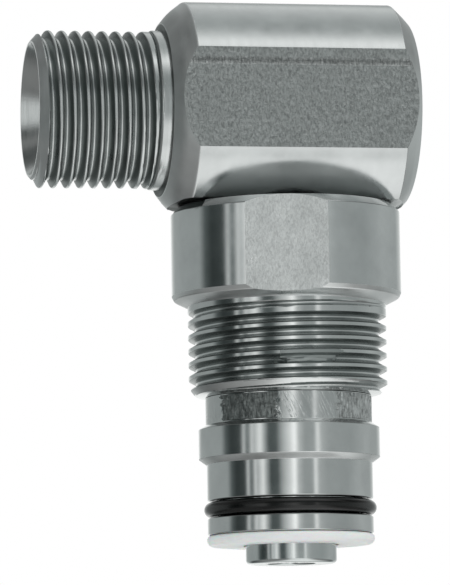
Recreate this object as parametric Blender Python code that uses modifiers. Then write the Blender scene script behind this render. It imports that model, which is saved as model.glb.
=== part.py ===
"""Screw-in non-return cartridge with a swivelling right-angle outlet.

The origin is on the cartridge's axis, at the lower edge of the round collar. +Z runs up to the
elbow, and the threaded outlet points along -X. Lengths are in millimetres until scaled by MM.
"""
import math

import bmesh
import bpy

MM = 0.001
STEPS = 36
INNER_STEPS = 20
THREAD_STEPS = 24
SHARP_EDGE = math.radians(28)
ASSEMBLY = "swivel_elbow_check_cartridge"

CONTACT_GAP = 0.05
SWIVEL_GAP = 0.3
OVERCUT = 3.0

# Pipe threads: 55 degree flanks, 14 turns an inch
PITCH = 25.4 / 14
THREAD_DEPTH = 0.6403 * PITCH
FLANK = math.radians(27.5)
ROOT_HALF_WIDTH = 0.151
THREAD_LEAD = 0.8
PORT_THREAD_R = 26.441 / 2
OUTLET_THREAD_R = 20.955 / 2

# Elbow: a round bar with two milled flats, turned down to a threaded spigot on its left
ELBOW_AXIS_Z = 24.6
BAR_R = 14.5
BAR_FLATS = 25.8
BAR_RIGHT_X = 16.3
BAR_LEFT_X = -16.8
RIGHT_EDGE = ((2.25, 0), (0.85, 1.3), (0, 2.2))
LEFT_EDGE = ((3.0, 0), (1.2, 1.4), (0, 2.9))
RUNOUT_R = 10.65
RUNOUT_END_X = -18.3
SPIGOT_CREST_X = -18.0
MOUTH_X = -34.2
MOUTH_R = 9.05
MOUTH_CHAMFER = 1.25
CONE_R = 8.75
CONE_ANGLE = math.radians(30)
OUTLET_BORE_R = 5.0
OUTLET_BORE_END_X = 3.5
POCKET_R = 15.75

# Collar and port thread
COLLAR_R = 15.3
COLLAR_TOP_Z = 11.7
COLLAR_FLATS = 28.6
COLLAR_TURN = math.radians(-10.9)
COLLAR_CHAMFER = 1.0
COLLAR_LOWER_EDGE = ((0, -0.2), (0.3, -0.7))
CONE_BOTTOM_Z = -1.6
THREAD_TOP_Z = -3.1
BODY_BOTTOM_Z = -13.75
THREAD_END_CHAMFER = 0.85
THREAD_END_BEVEL_Z = 0.35
CHAMBER_R = 9.6
CHAMBER_TOP_Z = 4.0
JOURNAL_BORE_R = 6.85
WIPER_BORE_R = 8.7
WIPER_FLOOR_Z = 10.1
THREAD_CREST_Z = -2.94

# Nose sleeve: neck, three lands and the groove of the outer ring seal
SPIGOT_R = 9.25
NECK_R = 11.05
NECK_BOTTOM_Z = -17.4
LAND_1_R = 12.03
LAND_1_TOP_Z = -18.0
LAND_1_BOTTOM_Z = -21.9
LAND_2_R = 11.0
LAND_2_TOP_Z = -22.65
GROOVE_TOP_Z = -27.5
GROOVE_BOTTOM_Z = -29.75
NOSE_BOTTOM_Z = -32.0
NOSE_RING_R = 11.44
NOSE_RING_WIRE = 0.99
SPRING_CHAMBER_R = 6.8
LEDGE_TOP_Z = -20.5
LEDGE_BOTTOM_Z = -23.0
LEDGE_R = 4.6
SPIDER_TOP_Z = -7.2
SPIDER_THICKNESS = 2.0
CLIP_SPACE = 1.0
STATIC_RING_Z = -2.75
STATIC_ROOT_R = 7.95
SMALL_GROOVE_HALF = 0.95

# Face seal and inlet nozzle
FACE_SEAL_R = 11.1
FACE_SEAL_BOTTOM_Z = -33.45
NOZZLE_R = 6.02
NOZZLE_BOTTOM_Z = -35.9
NOZZLE_BORE_R = 3.2
NOZZLE_TOP_Z = -24.6
SEAT_R = 3.4

# Swivel stem, screwed up into the elbow and held down by its flange
JOURNAL_R = 6.6
STEM_TOP_Z = 19.4
STEM_BORE_R = 3.9
FLANGE_R = 9.2
FLANGE_BOTTOM_Z = 0.9
FLANGE_TOP_Z = 3.1
STEM_HEX_FLATS = 8.4
STEM_GROOVE_R = 5.25
SMALL_RING_WIRE = 0.75
UPPER_GROOVE_Z = 9.3
LOWER_GROOVE_Z = 6.1
STATIC_GROOVE_Z = 14.0

# Poppet, closed at rest
POPPET_STEM_R = 1.6
POPPET_HEAD_R = 4.2
POPPET_SHOULDER_Z = -18.6
POPPET_TOP_Z = -4.4
SPRING_R = 3.4
SPRING_WIRE = 0.35
SPRING_TURNS = 7.5
SPRING_POINTS_PER_TURN = 12

STEEL = (0.46, 0.50, 0.49, 1)
BLACK_RUBBER = (0.012, 0.013, 0.013, 1)
WHITE_PLASTIC = (0.86, 0.88, 0.88, 1)
BRONZE = (0.50, 0.34, 0.18, 1)
TAN_PLASTIC = (0.62, 0.50, 0.36, 1)
SPRING_STEEL = (0.35, 0.36, 0.37, 1)


def clear_scene():
    for old in list(bpy.data.objects):
        bpy.data.objects.remove(old)


def new_collection(name):
    collection = bpy.data.collections.new(name)
    bpy.context.scene.collection.children.link(collection)
    return collection


def new_material(name, colour, roughness, metallic):
    material = bpy.data.materials.new(name)
    material.use_nodes = True
    shader = material.node_tree.nodes["Principled BSDF"]
    shader.inputs["Base Color"].default_value = colour
    shader.inputs["Roughness"].default_value = roughness
    shader.inputs["Metallic"].default_value = metallic
    return material


def finish_part(part, colour, roughness, metallic):
    """Gives a part its own material and puts it in the assembly's collection."""
    part.data.materials.append(new_material(part.name, colour, roughness, metallic))
    parts.objects.link(part)
    return part


def finish_cutter(cutter):
    cutter.hide_render = True
    cutter.display_type = "WIRE"
    cutters.objects.link(cutter)
    return cutter


def evaluated_mesh(part):
    """The mesh that the part's modifiers or curve give, as plain data."""
    scene_objects = bpy.context.scene.collection.objects
    scene_objects.link(part)
    bpy.context.view_layer.update()
    graph = bpy.context.evaluated_depsgraph_get()
    mesh = bpy.data.meshes.new_from_object(part.evaluated_get(graph))
    scene_objects.unlink(part)
    mesh.name = part.name
    return mesh


def turned(name, outline, steps=STEPS):
    """A solid turned about Z. The outline's (radius, height) points run clockwise: down its outer side."""
    profile = bpy.data.meshes.new(name)
    points = [(r * MM, 0, z * MM) for r, z in outline]
    touches_axis = min(r for r, _ in outline) == 0
    edges = [(i, i + 1) for i in range(len(points) - 1)]
    if not touches_axis:
        edges.append((len(points) - 1, 0))
    profile.from_pydata(points, edges, [])
    blank = bpy.data.objects.new(name + "_profile", profile)
    screw = blank.modifiers.new("turn", "SCREW")
    screw.axis = "Z"
    screw.steps = steps
    screw.render_steps = steps
    screw.use_merge_vertices = True
    screw.merge_threshold = 0.000001
    mesh = evaluated_mesh(blank)
    mesh.name = name
    mesh.shade_smooth()
    mesh.set_sharp_from_angle(angle=SHARP_EDGE)
    bpy.data.objects.remove(blank)
    return bpy.data.objects.new(name, mesh)


def thread_cutter(name, radius, crest_z, low_z, high_z):
    """A V-shaped bar wound along the root of a right-hand thread, to be cut from a plain cylinder."""
    outer = radius + 0.15
    inner = radius - THREAD_DEPTH
    outer_half = ROOT_HALF_WIDTH + (outer - inner) * math.tan(FLANK)
    root_z = crest_z + PITCH / 2
    start = root_z - PITCH * math.ceil((root_z - low_z) / PITCH)
    turns = math.ceil((high_z - start) / PITCH)
    section = [(outer, outer_half), (outer, -outer_half), (inner, -ROOT_HALF_WIDTH), (inner, ROOT_HALF_WIDTH)]
    profile = bpy.data.meshes.new(name)
    points = [(r * MM, 0, (start + z) * MM) for r, z in section]
    profile.from_pydata(points, [(0, 1), (1, 2), (2, 3), (3, 0)], [])
    wire = bpy.data.objects.new(name + "_profile", profile)
    screw = wire.modifiers.new("helix", "SCREW")
    screw.axis = "Z"
    screw.screw_offset = PITCH * MM
    screw.iterations = turns
    screw.steps = THREAD_STEPS
    screw.render_steps = THREAD_STEPS
    mesh = evaluated_mesh(wire)
    bpy.data.objects.remove(wire)
    shape = bmesh.new()
    shape.from_mesh(mesh)
    bmesh.ops.holes_fill(shape, edges=[edge for edge in shape.edges if edge.is_boundary])
    bmesh.ops.recalc_face_normals(shape, faces=shape.faces)
    shape.to_mesh(mesh)
    shape.free()
    return finish_cutter(bpy.data.objects.new(name, mesh))


def block(name, size, centre):
    """A box cutter, with its size built into the mesh."""
    mesh = bpy.data.meshes.new(name)
    shape = bmesh.new()
    bmesh.ops.create_cube(shape, size=1)
    bmesh.ops.scale(shape, vec=[side * MM for side in size], verts=shape.verts)
    shape.to_mesh(mesh)
    shape.free()
    cutter = bpy.data.objects.new(name, mesh)
    cutter.location = [place * MM for place in centre]
    return finish_cutter(cutter)


def plug(name, radius, low_z, high_z, sides=INNER_STEPS):
    """An upright round or many-sided cutter."""
    mesh = bpy.data.meshes.new(name)
    shape = bmesh.new()
    height = (high_z - low_z) * MM
    bmesh.ops.create_cone(shape, cap_ends=True, segments=sides, radius1=radius * MM,
                          radius2=radius * MM, depth=height)
    shape.to_mesh(mesh)
    shape.free()
    cutter = bpy.data.objects.new(name, mesh)
    cutter.location = (0, 0, (low_z + high_z) / 2 * MM)
    return finish_cutter(cutter)


def cut(part, cutter):
    boolean = part.modifiers.new(cutter.name, "BOOLEAN")
    boolean.operation = "DIFFERENCE"
    boolean.object = cutter


def cut_flats(part, across, centre_z, height, length):
    """Mills two flats, at the front and at the back."""
    for side, word in ((-1, "front"), (1, "rear")):
        depth = 2 * OVERCUT
        centre = (0, side * (across / 2 + depth / 2), centre_z)
        cut(part, block(f"{part.name}_{word}_flat", (length, depth, height), centre))


def lay_down(part):
    """Turns a part made about Z so that its +Z end points along -X, on the elbow's axis."""
    part.rotation_euler = (0, -math.pi / 2, 0)
    part.location = (0, 0, ELBOW_AXIS_Z * MM)
    return part


def ring_seal(name, mean_radius, wire, centre_z, steps=INNER_STEPS, sides=6):
    section = []
    for i in range(sides):
        turn = -2 * math.pi * i / sides
        section.append((mean_radius + wire * math.cos(turn), centre_z + wire * math.sin(turn)))
    return turned(name, section, steps)


def washer(name, inner, outer, low_z, high_z, steps=INNER_STEPS):
    return turned(name, [(inner, high_z), (outer, high_z), (outer, low_z), (inner, low_z)], steps)


def make_elbow_body():
    """The bar, its spigot and their bores. Heights along the turning axis are -x."""
    left = -BAR_LEFT_X
    right = -BAR_RIGHT_X
    mouth = -MOUTH_X
    outline = [
        (0, mouth),
        (MOUTH_R, mouth),
        (OUTLET_THREAD_R, mouth - MOUTH_CHAMFER),
        (OUTLET_THREAD_R, -RUNOUT_END_X),
        (RUNOUT_R, -RUNOUT_END_X),
        (RUNOUT_R, left),
    ]
    outline += [(BAR_R - down, left - along) for along, down in reversed(LEFT_EDGE)]
    outline += [(BAR_R - down, right + along) for along, down in RIGHT_EDGE]
    outline.append((0, right))
    elbow = lay_down(turned("elbow_body", outline))
    thread = thread_cutter("outlet_thread", OUTLET_THREAD_R, -SPIGOT_CREST_X, THREAD_LEAD - RUNOUT_END_X,
                           mouth + PITCH)
    cut(elbow, lay_down(thread))
    cut_flats(elbow, BAR_FLATS, ELBOW_AXIS_Z, 4 * BAR_R, 2 * (BAR_RIGHT_X + OVERCUT))

    cone_length = (CONE_R - OUTLET_BORE_R) / math.tan(CONE_ANGLE)
    past_mouth = OVERCUT * math.tan(CONE_ANGLE)
    outlet = turned("outlet_bore", [
        (0, mouth + OVERCUT),
        (CONE_R + past_mouth, mouth + OVERCUT),
        (OUTLET_BORE_R, mouth - cone_length),
        (OUTLET_BORE_R, -OUTLET_BORE_END_X),
        (0, -OUTLET_BORE_END_X - OUTLET_BORE_R * math.tan(CONE_ANGLE)),
    ], INNER_STEPS)
    cut(elbow, finish_cutter(lay_down(outlet)))

    ceiling = COLLAR_TOP_Z + SWIVEL_GAP
    stem_hole_top = STEM_TOP_Z + CONTACT_GAP
    underside = turned("underside_cuts", [
        (0, ELBOW_AXIS_Z),
        (STEM_BORE_R, ELBOW_AXIS_Z),
        (STEM_BORE_R, stem_hole_top),
        (JOURNAL_BORE_R, stem_hole_top),
        (JOURNAL_BORE_R, ceiling),
        (POCKET_R, ceiling),
        (POCKET_R, ceiling - OVERCUT),
        (0, ceiling - OVERCUT),
    ])
    cut(elbow, finish_cutter(underside))
    finish_part(elbow, STEEL, 0.32, 1.0)


def make_cartridge_body():
    """Collar with two wrench flats, seating cone and port thread, bored through in three steps."""
    inner_end = BODY_BOTTOM_Z
    outline = [
        (WIPER_BORE_R, COLLAR_TOP_Z),
        (COLLAR_R - COLLAR_CHAMFER, COLLAR_TOP_Z),
        (COLLAR_R, COLLAR_TOP_Z - COLLAR_CHAMFER),
    ]
    outline += [(COLLAR_R - inward, z) for inward, z in COLLAR_LOWER_EDGE]
    outline += [
        (PORT_THREAD_R, CONE_BOTTOM_Z),
        (PORT_THREAD_R, inner_end + THREAD_END_CHAMFER + THREAD_END_BEVEL_Z),
        (PORT_THREAD_R - THREAD_END_CHAMFER, inner_end + THREAD_END_BEVEL_Z),
        (NECK_R, inner_end),
        (CHAMBER_R, inner_end),
        (CHAMBER_R, CHAMBER_TOP_Z),
        (JOURNAL_BORE_R, CHAMBER_TOP_Z),
        (JOURNAL_BORE_R, WIPER_FLOOR_Z),
        (WIPER_BORE_R, WIPER_FLOOR_Z),
    ]
    body = turned("cartridge_body", outline)
    cut(body, thread_cutter("port_thread", PORT_THREAD_R, THREAD_CREST_Z, inner_end - PITCH, THREAD_TOP_Z))
    cut_flats(body, COLLAR_FLATS, COLLAR_TOP_Z / 2, 2 * COLLAR_TOP_Z, 3 * COLLAR_R)
    for modifier in body.modifiers:
        modifier.object.parent = body
    body.rotation_euler.z = COLLAR_TURN
    finish_part(body, STEEL, 0.3, 1.0)


def make_nose_sleeve():
    """The neck and the three lands, with a spigot up inside the cartridge body."""
    groove_root = NOSE_RING_R - 2 * NOSE_RING_WIRE - SWIVEL_GAP
    static_top = STATIC_RING_Z + SMALL_GROOVE_HALF
    static_bottom = STATIC_RING_Z - SMALL_GROOVE_HALF
    lip = 0.25
    clip_groove_r = SPRING_CHAMBER_R + 0.75
    outline = [
        (SPRING_CHAMBER_R, 0),
        (SPIGOT_R, 0),
        (SPIGOT_R, static_top),
        (STATIC_ROOT_R, static_top),
        (STATIC_ROOT_R, static_bottom),
        (SPIGOT_R, static_bottom),
        (SPIGOT_R, BODY_BOTTOM_Z - CONTACT_GAP),
        (NECK_R, BODY_BOTTOM_Z - CONTACT_GAP),
        (NECK_R, NECK_BOTTOM_Z),
        (LAND_1_R, LAND_1_TOP_Z),
        (LAND_1_R, LAND_1_BOTTOM_Z),
        (LAND_2_R, LAND_2_TOP_Z),
        (LAND_2_R, GROOVE_TOP_Z + lip),
        (LAND_2_R - lip, GROOVE_TOP_Z),
        (groove_root, GROOVE_TOP_Z),
        (groove_root, GROOVE_BOTTOM_Z),
        (LAND_2_R - lip, GROOVE_BOTTOM_Z),
        (LAND_2_R, GROOVE_BOTTOM_Z - lip),
        (LAND_2_R, NOSE_BOTTOM_Z + lip),
        (LAND_2_R - lip, NOSE_BOTTOM_Z),
        (NOZZLE_R + SWIVEL_GAP, NOSE_BOTTOM_Z),
        (NOZZLE_R + SWIVEL_GAP, LEDGE_BOTTOM_Z),
        (LEDGE_R, LEDGE_BOTTOM_Z),
        (LEDGE_R, LEDGE_TOP_Z),
        (SPRING_CHAMBER_R, LEDGE_TOP_Z),
        (SPRING_CHAMBER_R, SPIDER_TOP_Z + CONTACT_GAP),
        (clip_groove_r, SPIDER_TOP_Z + CONTACT_GAP),
        (clip_groove_r, SPIDER_TOP_Z + CLIP_SPACE),
        (SPRING_CHAMBER_R, SPIDER_TOP_Z + CLIP_SPACE),
    ]
    finish_part(turned("nose_sleeve", outline), STEEL, 0.26, 1.0)
    static_ring = ring_seal("nose_body_o_ring", STATIC_ROOT_R + SMALL_RING_WIRE + 0.1, SMALL_RING_WIRE,
                            STATIC_RING_Z)
    finish_part(static_ring, BLACK_RUBBER, 0.45, 0.0)
    groove_middle = (GROOVE_TOP_Z + GROOVE_BOTTOM_Z) / 2
    outer_ring = ring_seal("nose_o_ring", NOSE_RING_R - NOSE_RING_WIRE, NOSE_RING_WIRE, groove_middle, STEPS, 10)
    finish_part(outer_ring, BLACK_RUBBER, 0.35, 0.0)


def make_inlet():
    """The white face seal and the hollow nozzle that clamps it and the seat ring."""
    seal_top = NOSE_BOTTOM_Z - CONTACT_GAP
    edge = 0.25
    face_seal = turned("face_seal", [
        (NOZZLE_R + SWIVEL_GAP, seal_top),
        (FACE_SEAL_R - edge, seal_top),
        (FACE_SEAL_R, seal_top - edge),
        (FACE_SEAL_R, FACE_SEAL_BOTTOM_Z + edge),
        (FACE_SEAL_R - edge, FACE_SEAL_BOTTOM_Z),
        (NOZZLE_R + SWIVEL_GAP, FACE_SEAL_BOTTOM_Z),
    ])
    finish_part(face_seal, WHITE_PLASTIC, 0.5, 0.0)
    groove_z = -26.5
    groove_half = SMALL_GROOVE_HALF
    groove_root = NOZZLE_R - 2 * SMALL_RING_WIRE - CONTACT_GAP
    upper_edge = 0.3
    lower_edge = 0.4
    nozzle = turned("inlet_nozzle", [
        (NOZZLE_BORE_R, NOZZLE_TOP_Z),
        (NOZZLE_R - upper_edge, NOZZLE_TOP_Z),
        (NOZZLE_R, NOZZLE_TOP_Z - upper_edge),
        (NOZZLE_R, groove_z + groove_half),
        (groove_root, groove_z + groove_half),
        (groove_root, groove_z - groove_half),
        (NOZZLE_R, groove_z - groove_half),
        (NOZZLE_R, NOZZLE_BOTTOM_Z + lower_edge),
        (NOZZLE_R - lower_edge, NOZZLE_BOTTOM_Z),
        (NOZZLE_BORE_R + upper_edge, NOZZLE_BOTTOM_Z),
        (NOZZLE_BORE_R, NOZZLE_BOTTOM_Z + upper_edge),
    ])
    finish_part(nozzle, STEEL, 0.28, 1.0)
    nozzle_ring = ring_seal("nozzle_o_ring", NOZZLE_R - SMALL_RING_WIRE + 0.1, SMALL_RING_WIRE, groove_z)
    finish_part(nozzle_ring, BLACK_RUBBER, 0.45, 0.0)
    seat = washer("seat_ring", SEAT_R, NOZZLE_R, NOZZLE_TOP_Z + CONTACT_GAP, LEDGE_BOTTOM_Z - CONTACT_GAP)
    finish_part(seat, TAN_PLASTIC, 0.4, 0.0)


def make_spring_guide():
    """A four-hole spider with the poppet's guide bush in its hub, under a retaining ring."""
    hub_top = SPIDER_TOP_Z + SPIDER_THICKNESS
    spider_bottom = SPIDER_TOP_Z - SPIDER_THICKNESS
    spider_r = SPRING_CHAMBER_R - 0.2
    bush_r = 2.5
    hub_r = 3.0
    spider = turned("spring_guide", [
        (bush_r + CONTACT_GAP, hub_top),
        (hub_r, hub_top),
        (hub_r, SPIDER_TOP_Z),
        (spider_r, SPIDER_TOP_Z),
        (spider_r, spider_bottom),
        (bush_r + CONTACT_GAP, spider_bottom),
    ], INNER_STEPS)
    flow_hole_r = 1.25
    hole_circle_r = 4.75
    for i in range(4):
        hole = plug(f"flow_hole_{i + 1}", flow_hole_r, spider_bottom - OVERCUT, hub_top + OVERCUT, 12)
        angle = math.pi / 4 + i * math.pi / 2
        hole.location.x = hole_circle_r * math.cos(angle) * MM
        hole.location.y = hole_circle_r * math.sin(angle) * MM
        cut(spider, hole)
    finish_part(spider, STEEL, 0.35, 1.0)
    bush = washer("guide_bush", POPPET_STEM_R + 0.2, bush_r, spider_bottom + 0.1, hub_top - 0.1)
    finish_part(bush, BRONZE, 0.35, 1.0)
    clip_inner_r = 5.9
    clip_gap = 2.2
    clip = washer("retaining_ring", clip_inner_r, SPRING_CHAMBER_R + 0.6, SPIDER_TOP_Z + 0.1,
                  SPIDER_TOP_Z + CLIP_SPACE - 0.1)
    cut(clip, block("retaining_ring_gap", (4, clip_gap, 4), (SPRING_CHAMBER_R, 0, SPIDER_TOP_Z)))
    finish_part(clip, SPRING_STEEL, 0.3, 1.0)


def make_poppet():
    """Cone-nosed poppet on its stem, and the spring that closes it."""
    head_top = POPPET_SHOULDER_Z
    cone_top = -22.0
    tip_r = 2.0
    stem_chamfer = 0.4
    poppet = turned("poppet", [
        (0, POPPET_TOP_Z),
        (POPPET_STEM_R - stem_chamfer, POPPET_TOP_Z),
        (POPPET_STEM_R, POPPET_TOP_Z - stem_chamfer),
        (POPPET_STEM_R, head_top),
        (POPPET_HEAD_R, head_top),
        (POPPET_HEAD_R, cone_top),
        (tip_r, cone_top - (POPPET_HEAD_R - tip_r)),
        (0, cone_top - (POPPET_HEAD_R - tip_r)),
    ], INNER_STEPS)
    finish_part(poppet, STEEL, 0.25, 1.0)

    low = head_top + SPRING_WIRE + 0.1
    high = SPIDER_TOP_Z - SPIDER_THICKNESS - SPRING_WIRE - 0.1
    curve = bpy.data.curves.new("poppet_spring", "CURVE")
    curve.dimensions = "3D"
    curve.bevel_depth = SPRING_WIRE * MM
    curve.bevel_resolution = 2
    curve.use_fill_caps = True
    count = int(SPRING_TURNS * SPRING_POINTS_PER_TURN)
    wire = curve.splines.new("POLY")
    wire.points.add(count)
    for i, point in enumerate(wire.points):
        along = i / count
        angle = 2 * math.pi * SPRING_TURNS * along
        height = low + (high - low) * along
        point.co = (SPRING_R * math.cos(angle) * MM, SPRING_R * math.sin(angle) * MM, height * MM, 1)
    finish_part(bpy.data.objects.new("poppet_spring", curve), SPRING_STEEL, 0.3, 1.0)


def make_swivel():
    """Hollow stem with its seals, and the thrust washers above and below its flange."""
    half = 1.3
    top_edge = 0.5
    outline = [
        (STEM_BORE_R, STEM_TOP_Z),
        (JOURNAL_R - top_edge, STEM_TOP_Z),
        (JOURNAL_R, STEM_TOP_Z - top_edge),
    ]
    for groove_z in (STATIC_GROOVE_Z, UPPER_GROOVE_Z, LOWER_GROOVE_Z):
        outline.append((JOURNAL_R, groove_z + half))
        outline.append((STEM_GROOVE_R, groove_z + half))
        outline.append((STEM_GROOVE_R, groove_z - half))
        outline.append((JOURNAL_R, groove_z - half))
    outline += [
        (JOURNAL_R, FLANGE_TOP_Z),
        (FLANGE_R, FLANGE_TOP_Z),
        (FLANGE_R, FLANGE_BOTTOM_Z),
        (STEM_BORE_R, FLANGE_BOTTOM_Z),
    ]
    stem = turned("swivel_stem", outline)
    hex_corner = STEM_HEX_FLATS / math.sqrt(3)
    cut(stem, plug("stem_hex_socket", hex_corner, FLANGE_BOTTOM_Z - OVERCUT, FLANGE_TOP_Z + 1, 6))
    finish_part(stem, STEEL, 0.25, 1.0)

    ring_r = STEM_GROOVE_R + SMALL_RING_WIRE + CONTACT_GAP
    beside_backup = 0.45
    rings = (
        ("elbow_stem_seal", STATIC_GROOVE_Z),
        ("stem_o_ring_upper", UPPER_GROOVE_Z - beside_backup),
        ("stem_o_ring_lower", LOWER_GROOVE_Z - beside_backup),
    )
    for name, centre_z in rings:
        finish_part(ring_seal(name, ring_r, SMALL_RING_WIRE, centre_z), BLACK_RUBBER, 0.45, 0.0)
    backups = (("backup_ring_upper", UPPER_GROOVE_Z), ("backup_ring_lower", LOWER_GROOVE_Z))
    for name, groove_z in backups:
        ring = washer(name, STEM_GROOVE_R + 0.1, JOURNAL_R + 0.05, groove_z + 0.4, groove_z + 1.2)
        finish_part(ring, TAN_PLASTIC, 0.4, 0.0)

    upper = washer("upper_thrust_washer", JOURNAL_R + 0.3, FLANGE_R, FLANGE_TOP_Z + CONTACT_GAP,
                   CHAMBER_TOP_Z - CONTACT_GAP)
    finish_part(upper, BRONZE, 0.35, 1.0)
    lower_washer_r = 6.2
    lower = washer("lower_thrust_washer", lower_washer_r, FLANGE_R, CONTACT_GAP, FLANGE_BOTTOM_Z - CONTACT_GAP)
    finish_part(lower, BRONZE, 0.35, 1.0)
    wiper = washer("wiper_ring", JOURNAL_R + 0.15, WIPER_BORE_R - 0.15, WIPER_FLOOR_Z + CONTACT_GAP,
                   COLLAR_TOP_Z - 0.1)
    finish_part(wiper, BLACK_RUBBER, 0.5, 0.0)


clear_scene()
parts = new_collection(ASSEMBLY)
cutters = new_collection("cutters")
make_elbow_body()
make_cartridge_body()
make_nose_sleeve()
make_inlet()
make_spring_guide()
make_poppet()
make_swivel()
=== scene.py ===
"""Looks of a screw-in check cartridge with a swivelling, threaded outlet elbow.

Lengths are in millimetres and scaled by MM when a mesh is made. The frame is the CAD model's: the
origin on the cartridge's axis at the collar's lower edge, +Z up, the outlet along -X.
"""
import math

import bmesh
import bpy
from mathutils import Matrix, Vector, noise


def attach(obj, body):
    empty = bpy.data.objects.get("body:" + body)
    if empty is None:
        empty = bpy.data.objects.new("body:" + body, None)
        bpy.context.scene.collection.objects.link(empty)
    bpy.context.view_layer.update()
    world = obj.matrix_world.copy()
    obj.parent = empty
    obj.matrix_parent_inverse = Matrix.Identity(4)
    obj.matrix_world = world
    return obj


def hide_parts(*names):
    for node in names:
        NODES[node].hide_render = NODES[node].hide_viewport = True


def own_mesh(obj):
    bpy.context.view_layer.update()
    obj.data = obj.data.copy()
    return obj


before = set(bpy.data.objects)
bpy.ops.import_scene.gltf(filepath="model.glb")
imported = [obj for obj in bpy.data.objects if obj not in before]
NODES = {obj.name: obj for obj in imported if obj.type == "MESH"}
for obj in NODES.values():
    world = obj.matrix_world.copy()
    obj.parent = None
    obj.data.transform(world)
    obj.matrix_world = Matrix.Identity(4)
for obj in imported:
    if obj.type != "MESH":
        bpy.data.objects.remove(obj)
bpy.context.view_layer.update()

MM = 0.001
COLUMNS = 180
SHARP_EDGE = math.radians(17)
# How squarely a face looks along an axis when it counts as milled, and the slack in a face's place
FACING = 0.9999
NEAR = 0.01
# A face whose normal drops by more than this is a cone that looks down, which gets painted light
DOWNWARD = -0.3

# Pipe threads: rounded 55 degree form, 14 turns an inch
PITCH = 25.4 / 14
FLANK = math.radians(27.5)
CREST_ROUND = 0.28
ROOT_ROUND = 0.25
CREST_REACH = CREST_ROUND * math.cos(FLANK)
ROOT_REACH = ROOT_ROUND * math.cos(FLANK)
FLANK_DEPTH = (PITCH / 2 - CREST_REACH - ROOT_REACH) / math.tan(FLANK)
THREAD_DEPTH = (CREST_ROUND + ROOT_ROUND) * (1 - math.sin(FLANK)) + FLANK_DEPTH
# A thread face whose normal lies more than this along the thread's axis is a flank, which gets painted shade
STEEP = 0.78
PORT_THREAD_R = 26.441 / 2
OUTLET_THREAD_R = 20.955 / 2
SPIGOT_CREST = 17.5
PORT_CREST = -2.94
# What is worn off the port thread's crests, which leaves them flat
CREST_WEAR = 0.1

# Elbow: radii from its own axis, and places measured out along the spigot from the cartridge's axis
ELBOW_AXIS_Z = 24.6
BAR_R = 14.5
BAR_LEFT = 16.8
BAR_RIGHT = -16.3
BAR_HALF_FLATS = 12.9
RING_R = 10.65
RING_START = 18.3
RUNOUT_R = 10.25
MOUTH = 34.2
MOUTH_R = 9.05
MOUTH_CHAMFER = 1.25
SPIGOT_FOOT = 14
# The coned mouth, the outlet bore with its drilled end, and the passage and pockets for the swivel's stem
CONE_MOUTH_R = 8.75
CONE_SLOPE = math.tan(math.radians(30))
BORE_R = 5.0
BORE_END = -3.5
STEM_PASSAGE_R = 3.9
SEAL_POCKET_Z = 19.45
JOURNAL_R = 6.85
POCKET_R = 15.75
SWIVEL_GAP_Z = 12.0

# Cartridge: radii from its axis, and heights
COLLAR_R = 15.3
COLLAR_TOP = 11.7
COLLAR_HALF_FLATS = 14.3
COLLAR_TURN = math.radians(-10.9)
CONE_BOTTOM = -1.6
THREAD_RUNOUT = (-1.7, -3.4)
BODY_BOTTOM = -13.75
BODY_CHAMFER = 0.85
BODY_CHAMFER_TOP = BODY_BOTTOM + 1.4
BODY_CHAMFER_FOOT = BODY_BOTTOM + 0.3
HOLLOW_R = 9.6
HOLLOW_TOP = 4
RECESS_R = 8.7
RECESS_FLOOR = 10.1
NECK_R = 11.05
NECK_BOTTOM = -17.4
NECK_STEP = 0.09
LAND_R = 11.0
NOSE_SPIGOT_R = 9.25
NOSE_END = -32.0
NOSE_BORE_R = 6.8
FACE_SEAL_R = 6.32
NOZZLE_R = 6.02
INLET_BORE_R = 3.2

# Camera, placed about the target by its azimuth, elevation and distance
CAMERA_AZIMUTH = math.radians(-10.86)
CAMERA_ELEVATION = math.radians(-6.38)
CAMERA_ROLL = math.radians(-1.0)
CAMERA_DISTANCE = 578.3
CAMERA_TARGET = (-8.33, 0, 0.25)
CAMERA_LENS = 267.6
CAMERA_SENSOR = 36
CAMERA_NEAR = 0.01
FLOOR_Z = -450
FLOOR_HALF = 4


# ---------------------------------------------------------------- camera, floor and studio

def add_camera():
    """A long lens, seeing the part from a little left of its front and a little below."""
    azimuth = CAMERA_AZIMUTH
    elevation = CAMERA_ELEVATION
    back = Vector((math.sin(azimuth) * math.cos(elevation), -math.cos(azimuth) * math.cos(elevation),
                   math.sin(elevation)))
    side = Vector((math.cos(azimuth), math.sin(azimuth), 0))
    up = back.cross(side)
    tilted_side = side * math.cos(CAMERA_ROLL) + up * math.sin(CAMERA_ROLL)
    tilted_up = up * math.cos(CAMERA_ROLL) - side * math.sin(CAMERA_ROLL)
    turn = Matrix((tilted_side, tilted_up, back)).transposed().to_4x4()
    place = Vector(CAMERA_TARGET) * MM + back * CAMERA_DISTANCE * MM
    camera = bpy.data.objects.new("camera", bpy.data.cameras.new("camera"))
    camera.matrix_world = Matrix.Translation(place) @ turn
    camera.data.lens = CAMERA_LENS
    camera.data.sensor_width = CAMERA_SENSOR
    camera.data.clip_start = CAMERA_NEAR
    bpy.context.scene.collection.objects.link(camera)
    bpy.context.scene.camera = camera


def add_floor(material):
    """A plain floor, left out of all mirror images."""
    mesh = bpy.data.meshes.new("floor")
    shape = bmesh.new()
    bmesh.ops.create_grid(shape, x_segments=8, y_segments=8, size=FLOOR_HALF)
    shape.to_mesh(mesh)
    shape.free()
    floor = bpy.data.objects.new("floor", mesh)
    floor.location.z = FLOOR_Z * MM
    floor.visible_glossy = False
    mesh.materials.append(material)
    bpy.context.scene.collection.objects.link(floor)


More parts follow.
